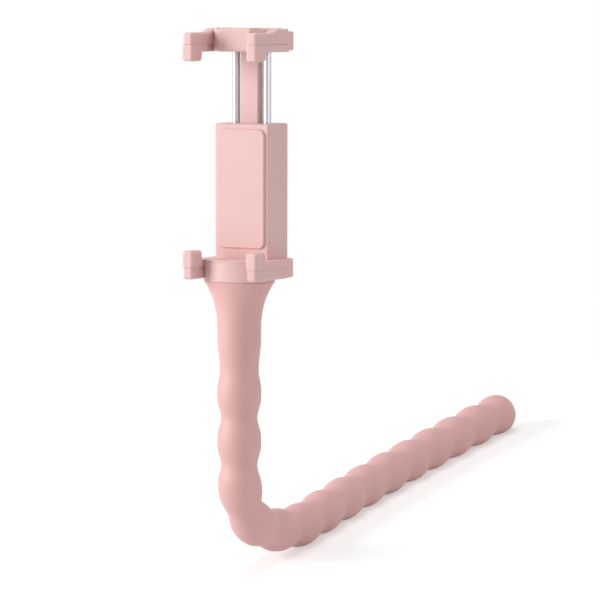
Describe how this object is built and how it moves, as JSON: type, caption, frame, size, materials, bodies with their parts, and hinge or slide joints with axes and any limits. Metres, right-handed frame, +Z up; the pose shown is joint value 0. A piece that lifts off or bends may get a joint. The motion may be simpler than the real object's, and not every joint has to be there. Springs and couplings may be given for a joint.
{
  "type": "flexible phone holder",
  "caption": "Sprung two-jaw phone clamp on a bendable beaded silicone arm, bent so that its leg lies on the table.",
  "frame": {"origin": "on the table, under the bead where the leg begins", "axes": "X across the clamp, to the right as seen from the phone's screen side; Y backwards, from the clamp along the leg; Z up"},
  "size_m": [0.032, 0.2148, 0.2025],
  "materials": {
    "silicone": "soft-touch moulded silicone, satin",
    "core": "plain drawn",
    "shell": "fine matt moulded",
    "pad": "soft-touch matt",
    "steel": "bright plated",
    "bush": "natural plastic",
    "spring": "drawn spring wire"
  },
  "bodies": {
    "arm": {"arm_sleeve": "silicone", "core_wire": "core", "tip_ferrule": "core"},
    "clamp": {"lower_jaw": "shell", "lower_pad": "pad", "core_socket": "steel", "lock_nut": "steel", "housing_screws": "steel", "rear_cover": "shell", "back_rest_pad": "pad", "rod_bushes": "bush", "spring_left": "spring", "spring_right": "spring"},
    "slider": {"upper_jaw": "shell", "upper_pad": "pad", "guide_rods": "steel", "stop_collars": "steel", "tongue": "shell", "tongue_screw": "steel"}
  },
  "joints": [
    {"name": "neck_bend", "type": "hinge", "parent": "arm", "child": "clamp", "pos_m": [0, -0.03619, 0.05978], "axis": [1, 0, 0], "range_deg": [-40, 40], "deforming": ["arm_sleeve", "core_wire"]},
    {"name": "jaw_slide", "type": "slide", "parent": "clamp", "child": "slider", "axis": [0, 0.1736, 0.9848], "range_m": [-0.019, 0.013], "stiffness_N_per_m": 60, "springref_m": -0.08, "deforming": ["spring_left", "spring_right"]}
  ]
}
